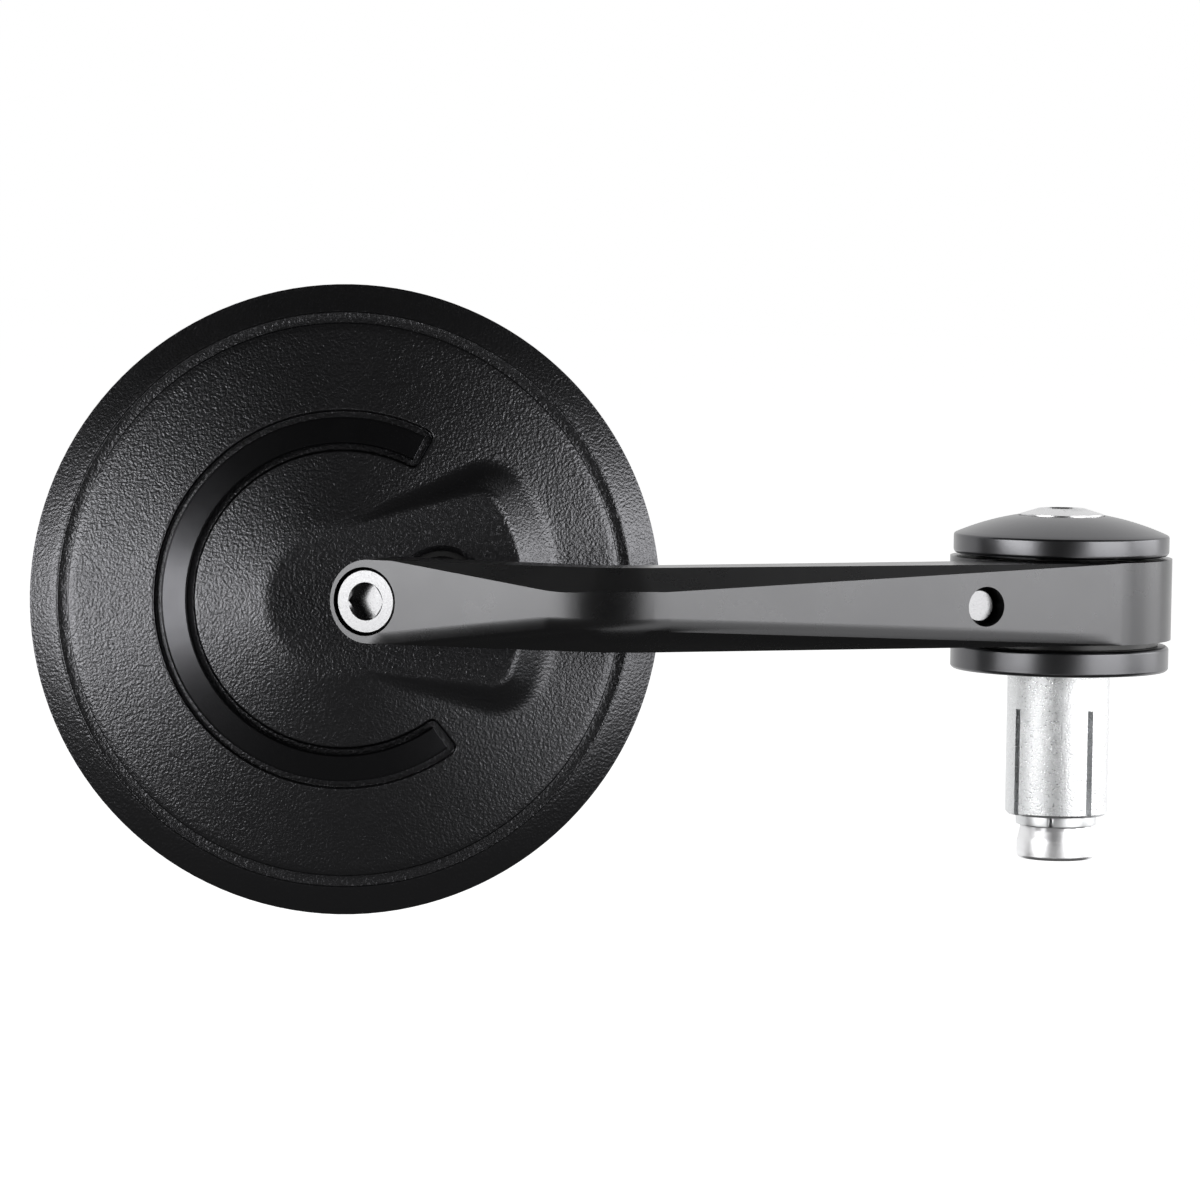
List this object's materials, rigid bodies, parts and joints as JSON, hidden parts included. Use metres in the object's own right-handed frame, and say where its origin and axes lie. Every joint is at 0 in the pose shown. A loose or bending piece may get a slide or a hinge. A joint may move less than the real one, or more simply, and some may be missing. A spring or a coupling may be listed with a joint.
{
  "type": "motorcycle bar end mirror",
  "caption": "Round mirror on a ball joint, carried by a bent flat arm whose eye turns on a clamp unit that plugs into a handlebar end.",
  "frame": {"origin": "centre of the lower flange's underside, on the axis of the plug, where the end of the handlebar bears", "axes": "+Z out of the handlebar along the plug's axis, +X away from the mirror head, -Y towards the back of the head"},
  "size_m": [0.1778, 0.0655, 0.0982],
  "materials": {
    "black_turned": "turned and anodised satin black",
    "blasted_aluminium": "bead blasted, bright",
    "ring_aluminium": "turned, bare",
    "nut_steel": "turned stainless steel",
    "screw_steel": "bright stainless steel",
    "washer_plastic": "black slide plastic",
    "washer_steel": "plain stainless steel",
    "arm_black": "milled and anodised satin black",
    "ball_steel": "ground steel",
    "liner_plastic": "moulded black plastic",
    "shell_black": "die cast with a fine leather-like texture, black",
    "trim_black": "smooth satin black",
    "pad_foam": "adhesive foam",
    "gasket_rubber": "soft black rubber",
    "mirror_glass": "slightly convex mirror glass"
  },
  "bodies": {
    "bar_unit": {"flange_hub": "black_turned", "expansion_sleeve": "blasted_aluminium", "expander_ring": "ring_aluminium", "cone_nut": "nut_steel", "centre_bolt": "screw_steel", "end_cap": "black_turned", "upper_washer": "washer_plastic", "lower_washer": "washer_plastic"},
    "arm": {"arm": "arm_black", "clamp_screw": "screw_steel"},
    "ball_stud": {"ball_stud": "ball_steel", "joint_screw": "screw_steel", "lock_washer": "washer_steel"},
    "ball_liner": {"ball_liner": "liner_plastic"},
    "head": {"mirror_shell": "shell_black", "trim_arc": "trim_black", "retainer_plate": "washer_steel", "retainer_screws": "screw_steel", "glass_pad": "pad_foam", "glass_gasket": "gasket_rubber", "mirror_glass": "mirror_glass"}
  },
  "joints": [
    {"name": "arm_swing", "type": "hinge", "parent": "bar_unit", "child": "arm", "pos_m": [0, 0, 0.0113], "axis": [0, 0, 1], "continuous": true},
    {"name": "stud_turn", "type": "hinge", "parent": "arm", "child": "ball_stud", "pos_m": [-0.0963, -0.01, 0.0113], "axis": [-0.4226, -0.9063, 0], "range_deg": [-25, 25]},
    {"name": "head_pan", "type": "hinge", "parent": "ball_stud", "child": "ball_liner", "pos_m": [-0.0963, -0.01, 0.0113], "axis": [0, 0, 1], "range_deg": [-30, 5]},
    {"name": "head_nod", "type": "hinge", "parent": "ball_liner", "child": "head", "pos_m": [-0.0963, -0.01, 0.0113], "axis": [1, 0, 0], "range_deg": [-12, 12]}
  ]
}
